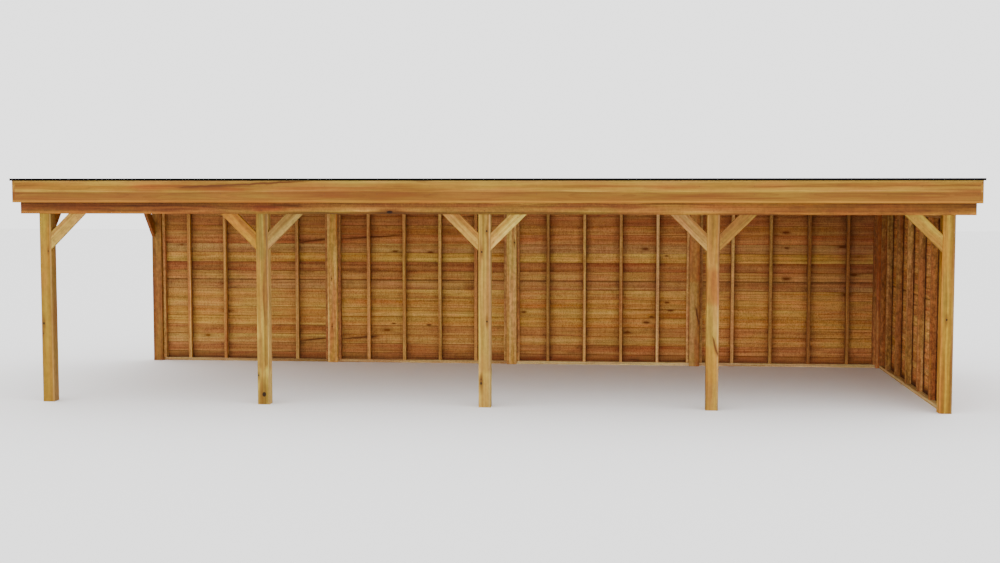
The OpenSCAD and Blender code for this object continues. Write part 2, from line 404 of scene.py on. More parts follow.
def crack_mark(g, place, colour, dark, start, end, width):
    """A dark drying crack from start to end, both (x, z), that thins out to its ends."""
    run = Vector((end[0] - start[0], 0.0, end[1] - start[1]))
    unit = run.normalized()
    half = run.length / 2
    waver = (g.noise(place, 9.0, 3.0) - 0.5) * (2.4 * width)
    offset = place - ((start[0] + end[0]) / 2, 0.0, (start[1] + end[1]) / 2)
    along = abs(g.along(offset, unit))
    across = abs(g.along(offset, (-unit.z, 0.0, unit.x)) + waver)
    thin = g.ramp(along, half, 0.3 * half, 0.0, width)
    core = (across < thin) * (along < half)
    shade = g.ramp(across, 4.0 * width, 0.0) * g.ramp(along, half, 0.5 * half)
    colour = g.mix(shade * 0.55, colour, dark)
    return g.mix(core * 0.85, colour, srgb(84, 42, 8))


def patch_mark(g, place, log, colour, low, high, tint, edge=0.006, soft=0.03):
    """A patch of another tint between two corners (x, z), fading over edge along x and soft along z: mostly
    wood of another tint, in a few places painted light on a side face.
    """
    ragged = g.wander(log, (1.5, 14.0, 14.0), (0.03, 0.0, 0.12), detail=3.0)
    x, _, z = g.split(place + ragged)
    inside = g.ramp(x, low[0] - edge, low[0] + edge) * g.ramp(x, high[0] + edge, high[0] - edge)
    inside *= g.ramp(z, low[1] - soft, low[1] + soft) * g.ramp(z, high[1] + soft, high[1] - soft)
    return g.stained(colour, tint, inside)


def dress_timber(node, tones, along, heart, seed, tint=(1.0, 1.0, 1.0), zones=None, **finish):
    """Wood for one CAD timber, with its TIMBER_MARKS.

    Along is its grain, heart the offset of the tree's heart from its middle.
    """
    material, g, shader, log_inputs, colour = wood(node, tones, **finish)
    centre = middle(node)
    turn = Vector(along).rotation_difference(Vector(ALONG))
    draw = random.Random(seed)
    shift = Vector((draw.uniform(*LOG_START), *heart)) - turn @ Vector(centre)
    here = g.here()
    log = g.wire("ShaderNodeMapping", 0, {"Vector": here, "Rotation": turn.to_euler(), "Location": shift})
    g.set(log_inputs["Place"], log)
    g.set(log_inputs["Tone"], draw.uniform(0, TONE_RANGE))
    colour = g.stained(colour, tint)
    dark = srgb(*TONES[tones][2])
    marks = TIMBER_MARKS.get(node, {})

    def placed(point):
        return centre[0] + point[0], point[1]

    for low, high, patch_tint, *edge in marks.get("patches", ()):
        colour = patch_mark(g, here, log, colour, placed(low), placed(high), patch_tint, *edge)
    if zones:
        colour = zones(g, here, log, colour)
    for x, z, radius, *flat in marks.get("knots", ()):
        colour = knot_mark(g, here, colour, dark, centre[0] + x, z, radius, *flat)
    for start, end, width in marks.get("cracks", ()):
        colour = crack_mark(g, here, colour, dark, placed(start), placed(end), width)
    g.set(shader["Base Color"], colour)
    dress(node, material)


def fascia_zones(g, here, log, colour):
    """Across a fascia: pale sapwood on both edges, tan above, redder heartwood below."""
    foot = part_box("front_fascia")[0][2]
    z = g.split(here)[2]
    height = z - foot
    wavy = z + g.noise(log, (0.5, 6.0, 6.0)) * 0.04 - 0.02 - foot
    lower = g.ramp(wavy, 0.126, 0.112)
    line = g.band(wavy, 0.131, 0.010, 0.003)
    strip = g.ramp(height, 0.027, 0.022)
    top = g.ramp(wavy, 0.215, 0.245)
    plain = g.mix(0.5, colour, srgb(*FASCIA_HEARTWOOD))
    colour = g.mix(lower, colour, g.tinted(plain, value=g.ramp(wavy, 0.03, 0.12, 0.94, 0.80)))
    there = g.ramp(g.noise(log, (0.6, 3.0, 3.0)), 0.4, 0.6, 0.0, 0.6)
    colour = g.mix(line * there, colour, g.tinted(colour, saturation=0.95, value=1.15))
    colour = g.mix(strip, colour, g.tinted(colour, hue=0.504, saturation=0.996, value=1.5))
    return g.mix(top, colour, g.tinted(colour, hue=0.506, saturation=0.94, value=1.14))


# Where along X a beam is palest, how far it stays so to both sides, and how far off it is darkest
PALE_MIDDLE = -0.3
PALE_REACH = 1.0
BEAM_END = 4.6


def beam_zones(node):
    """Across a beam: red-brown heartwood above, which also stands for painted shade under the fascia, tan
    below, with a painted highlight on the lower arris.

    Its middle is paler and yellower than its ends, but there the lower arris is dark instead of highlighted.
    """
    foot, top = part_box(node)[0][2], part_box(node)[1][2]

    def zones(g, here, log, colour):
        x, _, z = g.split(here)
        height = z - foot
        wavy = z + g.noise(log, (0.45, 5.0, 5.0), detail=3.0) * 0.09 - 0.045 - foot
        # heartwood band over the upper beam, darkened as painted shade under the fascia as well
        heart = g.ramp(wavy, 0.030, 0.046) * g.ramp(height, top - foot, top - foot - 0.05)
        colour = g.stained(colour, (0.78, 0.66, 0.60), heart)
        line = g.band(height, 0.085, 0.012, 0.004)
        colour = g.stained(colour, (0.60, 0.50, 0.45), line * 0.5)
        end = g.ramp(abs(x - PALE_MIDDLE), PALE_REACH, BEAM_END)
        colour = g.tinted(colour, saturation=0.97, value=1.75 - end * 1.2)
        colour = g.stained(colour, g.mix(end, (1.02, 1.19, 1.2), (0.98, 0.78, 0.66)))
        # lower arris: a painted highlight towards the ends, dark in the middle
        arris = g.mix(end, (0.35, 0.31, 0.23), (1.40, 1.42, 1.25))
        return g.mix(g.ramp(height, 0.034, 0.022), colour, g.stained(colour, arris))
    return zones


def board_wood(name, tones, light=0.18, red=0.6, fade=0.0, head=None, wall=None, **finish):
    """Wood for rows of boards: each board brings its own place in the log and its tone.

    Darker boards are redder heartwood, by as much as red says, and lighter ones greyer, by fade.
    Head is the tint of what lies over HEAD_LEVEL, a painted shadow of the beams. A wall adds its own marks.
    """
    material, g, shader, log_inputs, colour = wood(name, tones, **finish)
    g.set(log_inputs["Place"], g.wire("ShaderNodeAttribute", "Vector", attribute_name="grain"))
    bright, warm, green = g.split(g.wire("ShaderNodeAttribute", "Vector", attribute_name="tone"))
    g.set(log_inputs["Tone"], green * TONE_RANGE)
    heartwood = bright - warm * 0.5 + 0.25
    colour = g.stained(colour, (1.10, 0.80, 0.74), g.ramp(heartwood, 0.8, 0.0, 0.0, red))
    colour = g.stained(colour, (0.97, 1.05, 0.90), g.ramp(green, 0.5, 1.0, 0.0, red))
    grey = g.ramp(bright, 0.4, 1.0, 1.0, 1.0 - fade)
    colour = g.tinted(colour, saturation=grey, value=g.ramp(bright, 0.0, 1.0, 1.0 - light, 1.0 + light))
    # painted shadow of the beams over what lies above HEAD_LEVEL
    if head:
        height = g.split(g.here())[2]
        colour = g.stained(colour, head, g.ramp(height, HEAD_LEVEL - 0.02, HEAD_LEVEL))
    if wall:
        colour = wall_marks(g, colour, srgb(*TONES[tones][2]), **wall)
    g.set(shader["Base Color"], colour)
    return material


# Tints of the outside of the walls, along X and along Y: the board colours are painted lighter against the
# shade inside, and these tints take the outside, in full light, back to a darker brown
OUTSIDE = ((0.52, 0.47, 0.42), (0.46, 0.42, 0.40))
# Heights between which the tint of a wall's foot changes to that of its head: painted light, lighter towards
# the head
FOOT_TO_HEAD = (0.4, 1.8)
# How long an eye a knot makes on a wall, and how soft its patches are along Z
BOARD_KNOT_FLAT = 1.9
BOARD_PATCH_SOFT = 0.08


def wall_marks(
    g, colour, dark, node, across, first, pitch, knots=(), cracks=(), patches=(), tints=None, stained=1.0,
):
    """Marks on the boards of one wall: knots, cracks, open joints, and painted shade beside its studs.

    Across is 0 for a wall that runs along X and 1 for one that runs along Y. The tints are those of the foot
    and the head of the wall. They are painted light that makes the wall lighter towards its head. The inside
    is painted lighter against the shade under the roof, so the outside, in full light, is tinted back to a
    darker brown.
    """
    here = g.here()
    split = g.split(here)
    height = split[2]
    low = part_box(node)[0]
    face = low[1 - across] + 0.005
    inner = g.ramp(split[1 - across], face + 0.001, face - 0.001)
    for low_corner, high_corner, tint, edge in patches:
        colour = patch_mark(g, here, here, colour, low_corner, high_corner, tint, edge, BOARD_PATCH_SOFT)
    for x, z, radius in knots:
        colour = knot_mark(g, here, colour, dark, x, z, radius, BOARD_KNOT_FLAT, worn=True)
    for start, end, width in cracks:
        colour = crack_mark(g, here, colour, dark, start, end, width)
    # the open joint is darker, and the board edge over it gets a painted highlight
    joint = g.band(height, OPEN_JOINT, 0.012, 0.005)
    lit = g.band(height, OPEN_JOINT_LIT, 0.012, 0.004)
    lines = inner * 0.75
    colour = g.stained(colour, (0.42, 0.36, 0.34), joint * lines)
    colour = g.stained(colour, (1.35, 1.35, 1.35), lit * lines)
    # distance to the nearest stud, with a ragged edge
    turns = (split[across] - first) / pitch
    turns = g.math("FRACT", turns + 0.5)
    apart = abs(turns - 0.5) * pitch
    apart += g.noise(here, 14.0, 3.0) * 0.05 - 0.025
    # painted shade beside the studs and above the foot plate, and a darker line of painted shade where the
    # boards meet the studs (on the side wall, also over the foot plate)
    edge = STUD_W / 2
    plate_top = low[2] + STUD_W
    beside = g.ramp(apart, edge + 0.12, edge - 0.005)
    above = g.ramp(height, plate_top + 0.055, plate_top)
    if across:
        contact = g.ramp(apart, edge + 0.13, edge + 0.03)
        contact = g.math("MAXIMUM", contact, g.ramp(height, plate_top + 0.10, plate_top + 0.02, 0.0, 0.8))
        shade = (0.20, 0.13, 0.09)
    else:
        contact = g.ramp(apart, edge + 0.02, edge)
        shade = (0.60, 0.54, 0.52)
    painted_shade = g.math("MAXIMUM", beside * 0.75 * stained, above)
    colour = g.stained(colour, (0.52, 0.44, 0.42), painted_shade * inner)
    colour = g.stained(colour, shade, contact * inner)
    # painted light: the wall lighter towards its head, against the shade under the roof
    if tints:
        colour = g.stained(colour, g.mix(g.ramp(height, *FOOT_TO_HEAD), *tints))
    # outside: tinted darker, since the colours inside are painted lighter against the shade under the roof
    return g.stained(colour, OUTSIDE[across], 1.0 - inner)


def coating(name, colour, roughness, grain, gloss):
    """Coated metal, with a faint grain and uneven gloss."""
    material, g, shader = new_material(name, gloss)
    place = g.here()
    wide = g.noise(place, 2.5, 4.0, 0.6)
    g.set(shader["Base Color"], g.tinted(srgb(*colour), value=g.ramp(wide, 0.3, 0.7, 0.8, 1.25)))
    g.set(shader["Roughness"], g.ramp(wide, 0.3, 0.7, roughness - 0.08, roughness + 0.08))
    g.bump(shader, g.noise(place, grain, 3.0), 0.4, 0.0003)
    return material


def sheet_rubber():
    """Roofing rubber in sheets with lapped seams: matt black, with dust in its hollows."""
    material, g, shader = new_material("roofing_rubber", gloss=0.25)
    place = g.here()
    pools = g.noise(place, (0.55, 0.8, 1.0), 4.0, 0.6)
    dust = g.ramp(g.noise(place, 4.0, 6.0, 0.65), 0.40, 0.72) * 0.6
    dust = g.math("ADD", dust, g.ramp(pools, 0.5, 0.62) * 0.25, clamp=True)
    # a seam every SHEET_W along X: a step up over the lap, and a dark line along its edge
    along = g.math("FRACT", g.split(place)[0] / SHEET_W) * SHEET_W
    lap = along < SHEET_LAP
    edge = g.band(along, SHEET_LAP, 0.008, 0.002)
    colour = g.mix(dust, srgb(26, 26, 27), srgb(58, 57, 54))
    colour = g.mix(edge * 0.7, colour, srgb(12, 12, 12))
    g.set(shader["Base Color"], colour)
    g.set(shader["Roughness"], g.ramp(dust, 0.0, 0.7, 0.78, 0.92))
    g.bump(shader, lap + g.noise(place, 60.0, 3.0, 0.6) * 0.3, 0.5, 0.002)
    return material


# ---- Meshes ----------------------------------------------------------------


def new_mesh(name, verts, faces):
    mesh = bpy.data.meshes.new(name)
    mesh.from_pydata(verts, [], faces)
    mesh.update()
    return mesh


def prism(name, outline, length):
    """A closed bar along X from an outline of (y, z) points, counter-clockwise seen from +X."""
    count = len(outline)
    verts = [(x, y, z) for x in (0.0, length) for y, z in outline]
    faces = [tuple(range(count - 1, -1, -1)), tuple(range(count, 2 * count))]
    faces += [(i, (i + 1) % count, count + (i + 1) % count, count + i) for i in range(count)]
    return new_mesh(name, verts, faces)


def bar(name, length, depth, height):
    """Timber along X with its arrises taken off, from the origin towards +Y and +Z."""
    outline = [
        (ARRIS, 0), (depth - ARRIS, 0), (depth, ARRIS), (depth, height - ARRIS),
        (depth - ARRIS, height), (ARRIS, height), (0, height - ARRIS), (0, ARRIS),
    ]
    return prism(name, outline, length)


def weatherboard(name, length, thickness, cover=BOARD_PITCH, lap=BOARD_LAP):
    """Tapered lap board: inner face at Y = 0, foot of the inner face at Z = 0.

    Its lower lip hangs by lap over the thin upper edge of the board below.
    """
    top = cover - BOARD_GAP
    rebate = BOARD_TOP_T + REBATE_PLAY
    outline = [(0, 2 * ARRIS), (0, top - 2 * ARRIS), (2 * ARRIS, top), (BOARD_TOP_T, top)]
    outline += [(thickness, -lap + ARRIS), (thickness - ARRIS, -lap)]
    outline += [(rebate, -lap), (rebate, 0)] if lap else []
    outline += [(2 * ARRIS, 0)]
    return prism(name, outline[::-1], length)


def screw_head(size):
    """Countersunk head with a star-shaped drive, on the plane Z = 0 and facing +Z."""
    sides = HEAD_SIDES
    rings = (
        (HEAD_R, 0.0, 1.0), (HEAD_R, HEAD_T, 1.0),
        (DRIVE_R, HEAD_T, DRIVE_POINT), (DRIVE_FOOT_R, DRIVE_FOOT, 1.0),
    )
    verts, faces = [], []
    for radius, height, point in rings:
        for i in range(sides):
            reach = radius * (point if i % 2 else 1.0)
            angle = 2 * math.pi * i / sides
            verts.append((size * reach * math.cos(angle), size * reach * math.sin(angle), size * height))
    top = len(verts) - sides
    for foot in range(0, top, sides):
        for i in range(sides):
            j = (i + 1) % sides
            faces.append((foot + i, foot + j, foot + sides + j, foot + sides + i))
    faces += [tuple(range(top, top + sides)), tuple(range(sides - 1, -1, -1))]
    return new_mesh("screw_head", verts, faces)


# ---- Geometry Nodes ---------------------------------------------------------

ROW_INPUTS = {
    "Geometry": "Geometry", "Count": "Int", "Start": "Vector", "Step": "Vector", "Rows": "Int",
    "Row Step": "Vector", "Turn": "Rotation", "Grain Seed": "Int", "Tone Seed": "Int", "Material": "Material",
}
# Least and greatest distance of a piece from the end of its log and, both ways across, from its heart
LOG_LOW = (3.0, -0.09, 0.03)
LOG_HIGH = (60.0, 0.03, 0.11)
# From a row's grain seed to its tone seed, where it has none of its own
TONE_SEED_STEP = 17


def row_tree():
    """Copies of the object's own mesh in a grid of rows, each copy with its own grain and tone."""
    tree = bpy.data.node_groups.new("rows_of_pieces", "GeometryNodeTree")
    add_sockets(tree, "INPUT", ROW_INPUTS)
    add_sockets(tree, "OUTPUT", {"Geometry": "Geometry"})
    g = Graph(tree)
    given = g.wires(g.node("NodeGroupInput"))

    def stored(geometry, name, value, domain):
        inputs = {"Geometry": geometry, "Name": name, "Value": value}
        settings = {"data_type": "FLOAT_VECTOR", "domain": domain}
        return g.wire("GeometryNodeStoreNamedAttribute", "Geometry", inputs, **settings)

    def drawn(low, high, seed):
        inputs = {0: low, 1: high, "Seed": seed}
        return g.wire("FunctionNodeRandomValue", 0, inputs, data_type="FLOAT_VECTOR")

    def named(name):
        inputs = {"Name": name}
        return g.wire("GeometryNodeInputNamedAttribute", "Attribute", inputs, data_type="FLOAT_VECTOR")

    def line(count, start, step):
        inputs = {"Count": count, "Start Location": start, "Offset": step}
        return g.wire("GeometryNodeMeshLine", "Mesh", inputs)

    def copies(points, instance, turn=None):
        inputs = {"Points": points, "Instance": instance, "Rotation": turn}
        return g.wire("GeometryNodeInstanceOnPoints", "Instances", inputs)

    def realized(geometry):
        return g.wire("GeometryNodeRealizeInstances", "Geometry", {"Geometry": geometry})

    piece = stored(given["Geometry"], "grain", g.wire("GeometryNodeInputPosition", 0), "POINT")
    starts = line(given["Rows"], given["Start"], given["Row Step"])
    places = realized(copies(starts, line(given["Count"], (0, 0, 0), given["Step"])))
    row = copies(places, piece, given["Turn"])
    row = stored(row, "shift", drawn(LOG_LOW, LOG_HIGH, given["Grain Seed"]), "INSTANCE")
    row = stored(row, "tone", drawn((0, 0, 0), (1, 1, 1), given["Tone Seed"]), "INSTANCE")
    row = stored(realized(row), "grain", named("grain") + named("shift"), "POINT")
    inputs = {"Geometry": row, "Material": given["Material"]}
    finished = g.wire("GeometryNodeSetMaterial", "Geometry", inputs)
    g.node("NodeGroupOutput", {"Geometry": finished})
    return tree


ROWS = row_tree()


def rows(
    mesh, material, start, step=(0, 0, 0), count=1, row_step=(0, 0, 0), row_count=1, turn=(0, 0, 0),
    seed=1, tone_seed=None,
):
    """A plain mesh object of count x row_count copies of mesh; turn is in degrees."""
    made = new_object(mesh.name, mesh)
    modifier = made.modifiers.new("rows", "NODES")
    modifier.node_group = ROWS
    values = {
        "Count": count, "Start": start, "Step": step, "Rows": row_count, "Row Step": row_step,
        "Turn": [math.radians(a) for a in turn], "Grain Seed": seed,
        "Tone Seed": seed + TONE_SEED_STEP if tone_seed is None else tone_seed, "Material": material,
    }
    for item in ROWS.interface.items_tree:
        if item.in_out == "INPUT" and item.name in values:
            modifier[item.identifier] = values[item.name]
    evaluated = made.evaluated_get(bpy.context.evaluated_depsgraph_get())
    plain = bpy.data.meshes.new_from_object(evaluated)
    made.modifiers.clear()
    made.data = plain
    return made


def finish_piece(name, pieces, slot, *nodes):
    """One piece of several: it rides with the veranda and stands for its CAD nodes."""
    piece = pieces[0]
    if len(pieces) > 1:
        with bpy.context.temp_override(active_object=piece, selected_editable_objects=pieces):
            bpy.ops.object.join()
    piece.name = name
    piece.data.name = name
    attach(piece, "root")
    if nodes:
        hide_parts(*nodes)


def dress(node, material):
    """Gives a CAD node its finish."""
    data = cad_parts[node].data
    data.materials.clear()
    data.materials.append(material)


# ---- Places from the frame ---------------------------------------------------


def middle(node):
    low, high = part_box(node)
    return [(a + b) / 2 for a, b in zip(low, high)]


POST_X = [middle(f"back_post_{i}")[0] for i in range(1, POSTS + 1)]
POST_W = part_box("back_post_1")[1][0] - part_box("back_post_1")[0][0]
BAY = POST_X[1] - POST_X[0]
UP = (0, 0, 1)
ALONG = (1, 0, 0)
DEEP = (0, 1, 0)

# ---- Posts, beams, braces and fascias ------------------------------------------

# Marks of single timbers, each with its x from the timber's middle and its height in the frame: knots (x,
# height, radius, flat), cracks (both ends, width), and patches of another tint (two corners, tint, how soft
# along x, how soft along z); most patches are wood of another tint, the marked ones over side faces are
# painted light
TIMBER_MARKS = {
    "front_post_1": {
        "knots": ((-0.039, 0.896, 0.012), (-0.049, 0.78, 0.006), (0.03, 1.72, 0.007)),
        "patches": (
            ((-0.06, 1.5), (0.03, 2.2), (0.94, 1.0, 0.9)), ((0.02, 1.55), (0.08, 2.0), (1.10, 1.05, 0.75)),
        ),
    },
    "front_post_2": {
        "knots": ((0.007, 0.115, 0.024), (-0.056, 0.33, 0.010)),
        "patches": (
            ((-0.03, 1.65), (0.014, 2.2), (0.80, 0.86, 1.05)),
            # the last patch on the next line brightens the right side face: painted light
            ((0.014, 0.42), (0.062, 2.2), (0.60, 0.48, 0.40)), ((0.064, -0.1), (0.08, 2.2), (1.7, 1.6, 1.6)),
            ((-0.08, 0.78), (-0.02, 1.62), (1.24, 1.22, 1.25)),
            ((-0.08, -0.1), (0.08, 0.4), (1.18, 1.38, 1.3)),
            ((-0.08, 0.42), (-0.03, 0.76), (0.82, 0.74, 0.72)),
        ),
    },
    "front_post_3": {
        "knots": (
            (0.025, 1.96, 0.010), (-0.03, 1.73, 0.010), (0.027, 0.96, 0.010), (-0.039, 0.315, 0.010),
            (-0.039, 0.27, 0.014),
        ),
        "patches": (
            ((-0.08, -0.1), (-0.018, 2.2), (1.22, 1.25, 1.3)),
            ((0.02, 0.4), (0.08, 1.9), (0.86, 0.80, 0.88)), ((-0.08, -0.1), (0.08, 0.4), (1.14, 1.26, 1.2)),
        ),
    },
    "front_post_4": {
        "cracks": (((-0.006, 0.84), (0.068, 0.57), 0.010),),
        "patches": (
            ((-0.08, 1.17), (0.08, 1.55), (0.85, 0.64, 0.56), 0.006, 0.06),
            ((-0.08, 0.72), (0.08, 1.17), (1.10, 1.22, 1.3)),
            ((-0.08, 0.3), (0.08, 0.72), (1.08, 1.02, 0.74)), ((0.02, 1.6), (0.08, 2.2), (0.90, 0.78, 0.62)),
        ),
    },
    "front_post_5": {
        "knots": ((-0.008, 1.02, 0.010),),
        "patches": (
            ((-0.08, 1.55), (0.08, 1.9), (0.94, 0.92, 0.72)),
            ((-0.05, 1.15), (0.03, 1.55), (0.85, 0.85, 0.85)),
            ((-0.08, -0.1), (0.02, 1.0), (1.08, 1.02, 0.85)),
            # the next patch brightens the left side face: painted light
            ((-0.08, -0.1), (-0.055, 2.2), (1.3, 1.2, 1.7)),
        ),
    },
    "back_post_2": {"knots": ((-0.01, 1.17, 0.006), (-0.01, 0.5, 0.008))},
    "back_post_3": {"knots": ((0.04, 1.68, 0.008),)},
    "back_post_4": {
        "cracks": (((0.010, 0.86), (0.066, 0.52), 0.008),),
        "patches": (((-0.08, 1.15), (0.08, 2.2), (1.0, 0.80, 0.72)),),
    },
    "back_post_5": {"patches": (((-0.08, -0.1), (0.08, 2.3), (1.06, 0.76, 1.05)),)},
    "front_beam": {
        "knots": ((-1.055, 2.168, 0.038, 2.2),),
        "cracks": (((-2.45, 2.242), (-1.98, 2.236), 0.007),),
        "patches": (
            ((-2.75, 2.18), (-2.2, 2.3), (1.0, 0.70, 0.60), 0.2),
            ((-5.3, 2.1), (-3.3, 2.4), (0.86, 0.79, 0.75), 0.3),
            ((3.3, 2.1), (5.3, 2.4), (1.13, 1.18, 1.2), 0.3),
            ((-2.3, 2.1), (-0.6, 2.17), (0.80, 0.74, 0.68), 0.2, 0.01),
            ((-1.4, 2.175), (3.2, 2.215), (1.03, 1.13, 1.22), 0.3, 0.01),
            ((-2.58, 2.185), (-2.28, 2.235), (0.95, 0.74, 0.62), 0.06, 0.008),
            ((-2.56, 2.175), (-2.17, 2.212), (0.76, 0.72, 0.52), 0.06, 0.008),
        ),
    },
    "front_fascia": {
        "cracks": (((-3.47, 2.436), (-2.80, 2.466), 0.010), ((-3.15, 2.452), (-1.85, 2.512), 0.010)),
        "patches": (
            ((-5.4, 2.40), (-3.4, 2.55), (1.32, 1.42, 1.35), 0.5),
            ((-5.4, 2.24), (-3.0, 2.38), (0.86, 0.80, 0.79), 0.5),
            ((-1.8, 2.41), (-1.0, 2.53), (1.10, 1.28, 1.4), 0.2),
            ((2.2, 2.40), (5.4, 2.55), (0.94, 0.86, 0.84), 0.6),
        ),
    },
}
# Offset of the heart of the tree from the middle of each kind of timber; posts from left to right
BEAM_HEART = (0.11, 0.05)
BRACE_HEART = (0.07, 0.03)
FASCIA_HEART = (0.16, 0.05)
POST_HEARTS = ((0.05, 0.03), (-0.04, 0.05), (0.03, -0.06), (-0.06, -0.03), (0.04, 0.06))
# Tints of the posts, how hard the bands of the front ones are, and how bright their right-hand edges, partly
# painted light on the right side faces. The tints of the back posts are partly painted light and shade for
# their inner faces under the roof
FRONT_TINTS = (
    (0.76, 0.74, 0.66), (0.92, 1.06, 1.83), (0.83, 0.90, 1.75), (0.75, 0.70, 1.15), (0.81, 0.81, 0.78),
)
FRONT_BANDS = (0.24, 0.10, 0.14, 0.10, 0.08)
FRONT_EDGES = (1.1, 1.0, 1.15, 1.05, 1.12)
BACK_TINTS = (
    (0.53, 0.43, 0.40), (1.40, 1.7, 2.4), (1.24, 1.39, 1.9), (0.95, 0.97, 1.36), (0.9, 0.9, 1.1),
)
# Tints that the back posts lose on the outside, where the painted light of their shaded inner faces doesn't
# belong, and their brightness there
BACK_INNER_TINTS = (*BACK_TINTS[:-1], (0.95, 0.68, 1.1))
OUTER_BRIGHTNESS = 0.62
BEAMS = {"front_beam": ALONG, "back_beam": ALONG, "left_beam": DEEP, "right_beam": DEEP}
BEAM_TINTS = {"right_beam": (0.55, 0.42, 0.32)}
LEANS_LEFT = (-1, 0, 1)
LEANS_RIGHT = (1, 0, 1)
SIDE_BRACE_TINT = (0.72, 0.62, 0.74)
# Grain, tones and tint of each brace
BRACES = {
    "brace_1_right": (LEANS_RIGHT, "brace", (0.85, 0.88, 1.09)),
    "brace_2_left": (LEANS_LEFT, "brace_deep", (0.90, 0.91, 1.05)),
    "brace_2_right": (LEANS_RIGHT, "brace", (0.62, 0.64, 1.04)),
    "brace_3_left": (LEANS_LEFT, "brace", (0.88, 0.86, 1.09)),
    "brace_3_right": (LEANS_RIGHT, "brace", (1.13, 1.34, 2.0)),
    "brace_4_left": (LEANS_LEFT, "brace", (0.71, 0.67, 1.10)),
    "brace_4_right": (LEANS_RIGHT, "brace_deep", (0.67, 0.79, 1.70)),
    "brace_5_left": (LEANS_LEFT, "brace", (0.76, 0.80, 0.60)),
    "side_brace_front": ((0, 1, 1), "brace_deep", SIDE_BRACE_TINT),
    "side_brace_back": ((0, -1, 1), "brace_deep", SIDE_BRACE_TINT),
}
FASCIAS = {"front_fascia": ALONG, "back_fascia": ALONG, "left_fascia": DEEP, "right_fascia": DEEP}
# Seeds of the first log of each kind; the next timber takes the next number
FRONT_POST_LOG = 100
BACK_POST_LOG = 105
BEAM_LOG = 110
BRACE_LOG = 114
FASCIA_LOG = 200


def edge_zone(middle_x, brightness):
    """Another brightness along the right-hand edge of a post and over its right side face: partly pale
    sapwood, partly painted light on the side face, which the sun from the left leaves darker.
    """
    def zones(g, here, log, colour):
        offset = g.split(here)[0] - middle_x + g.noise(log, (0.8, 6.0, 6.0)) * 0.02 - 0.01
        edge = g.tinted(colour, saturation=1.05 if brightness < 1.0 else 0.92, value=brightness)
        return g.mix(g.ramp(offset, 0.044, 0.056), colour, edge)
    return zones


def outer_zone(face, tint):
    """The faces of a back post that show on the outside, without the tint of its inner side, which is partly
    painted light against the shade under the roof.
    """
    side = POST_X[-1] + POST_W / 2

    def zones(g, here, log, colour):
        x, y, _ = g.split(here)
        outer = g.ramp(y, face - 0.004, face - 0.002)
        outer = g.math("MAXIMUM", outer, g.ramp(abs(x), side - 0.004, side - 0.002))
        return g.stained(colour, [OUTER_BRIGHTNESS / value for value in tint], outer)
    return zones


def dress_posts():
    for i in range(POSTS):
        dress_timber(
            f"front_post_{i + 1}", "post", UP, POST_HEARTS[i], FRONT_POST_LOG + i, FRONT_TINTS[i],
            edge_zone(POST_X[i], FRONT_EDGES[i]), knots=0.0, bands=FRONT_BANDS[i], mottle=0.09,
        )
        node = f"back_post_{i + 1}"
        dress_timber(
            node, "post_orange", UP, POST_HEARTS[i], BACK_POST_LOG + i, BACK_TINTS[i],
            outer_zone(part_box(node)[1][1], BACK_INNER_TINTS[i]), knots=0.0, bands=0.12, mottle=0.20,
        )


def dress_beams_and_braces():
    for seed, (node, along) in enumerate(BEAMS.items(), BEAM_LOG):
        dress_timber(
            node, "beam", along, BEAM_HEART, seed, BEAM_TINTS.get(node, (1.0, 1.0, 1.0)), beam_zones(node),
            sawn=0.3, bands=0.10, knots=0.1, mottle=0.08,
        )
    for seed, (node, (along, tones, tint)) in enumerate(BRACES.items(), BRACE_LOG):
        dress_timber(node, tones, along, BRACE_HEART, seed, tint, knots=0.1, mottle=0.15)


def dress_fascias():
    for seed, (node, along) in enumerate(FASCIAS.items(), FASCIA_LOG):
        dress_timber(
            node, "fascia", along, FASCIA_HEART, seed, zones=fascia_zones,
            bands=0.12, knots=0.06, streaks=0.65, cracks=0.3, mottle=0.04,
        )


# ---- Walls -----------------------------------------------------------------------


def back_studs(bay):
    """First middle, pitch and number of the free studs of a bay, along X in the frame."""
    end = bay in (1, POSTS - 1)
    pitch = (BAY + (POST_W / 2 if end else 0)) / STUD_SPACES
    start = POST_X[bay - 1] - (POST_W / 2 if bay == 1 else 0)
    return start + pitch, pitch, STUD_SPACES - 1


def side_studs():
    """First middle, pitch and number of the free studs of the side wall, along Y in the frame."""
    low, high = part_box("side_frame")
    count = int((high[1] - low[1] - 2 * SIDE_STUD_FIRST) / SIDE_STUD_PITCH) + 1
    return high[1] - SIDE_STUD_FIRST - (count - 1) * SIDE_STUD_PITCH, SIDE_STUD_PITCH, count


def free_studs(node):
    return back_studs(int(node[-1])) if node.startswith("back") else side_studs()


def wall_sizes(node):
    """Whether a part of a wall lies along X, its corners, and its length, thickness and height."""
    along_x = node.startswith("back")
    low, high = (Vector(v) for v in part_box(node))
    length, thickness, height = high - low
    if not along_x:
        length, thickness = thickness, length
    return along_x, low, high, length, thickness, height


# Seeds of each frame: its grain, then the tones of its plates, free studs and edge studs. The seeds of
# tones were searched for, so that light and dark pieces lie as they do on the real veranda
FRAME_SEEDS = {
    "back_frame_1": (10, 1615, 10297, 18521), "back_frame_2": (20, 3798, 12300, 9096),
    "back_frame_3": (30, 1916, 8911, 20805), "back_frame_4": (40, 3553, 3830, 4515),
    "side_frame": (60, 3798, 41042, 4515),
}


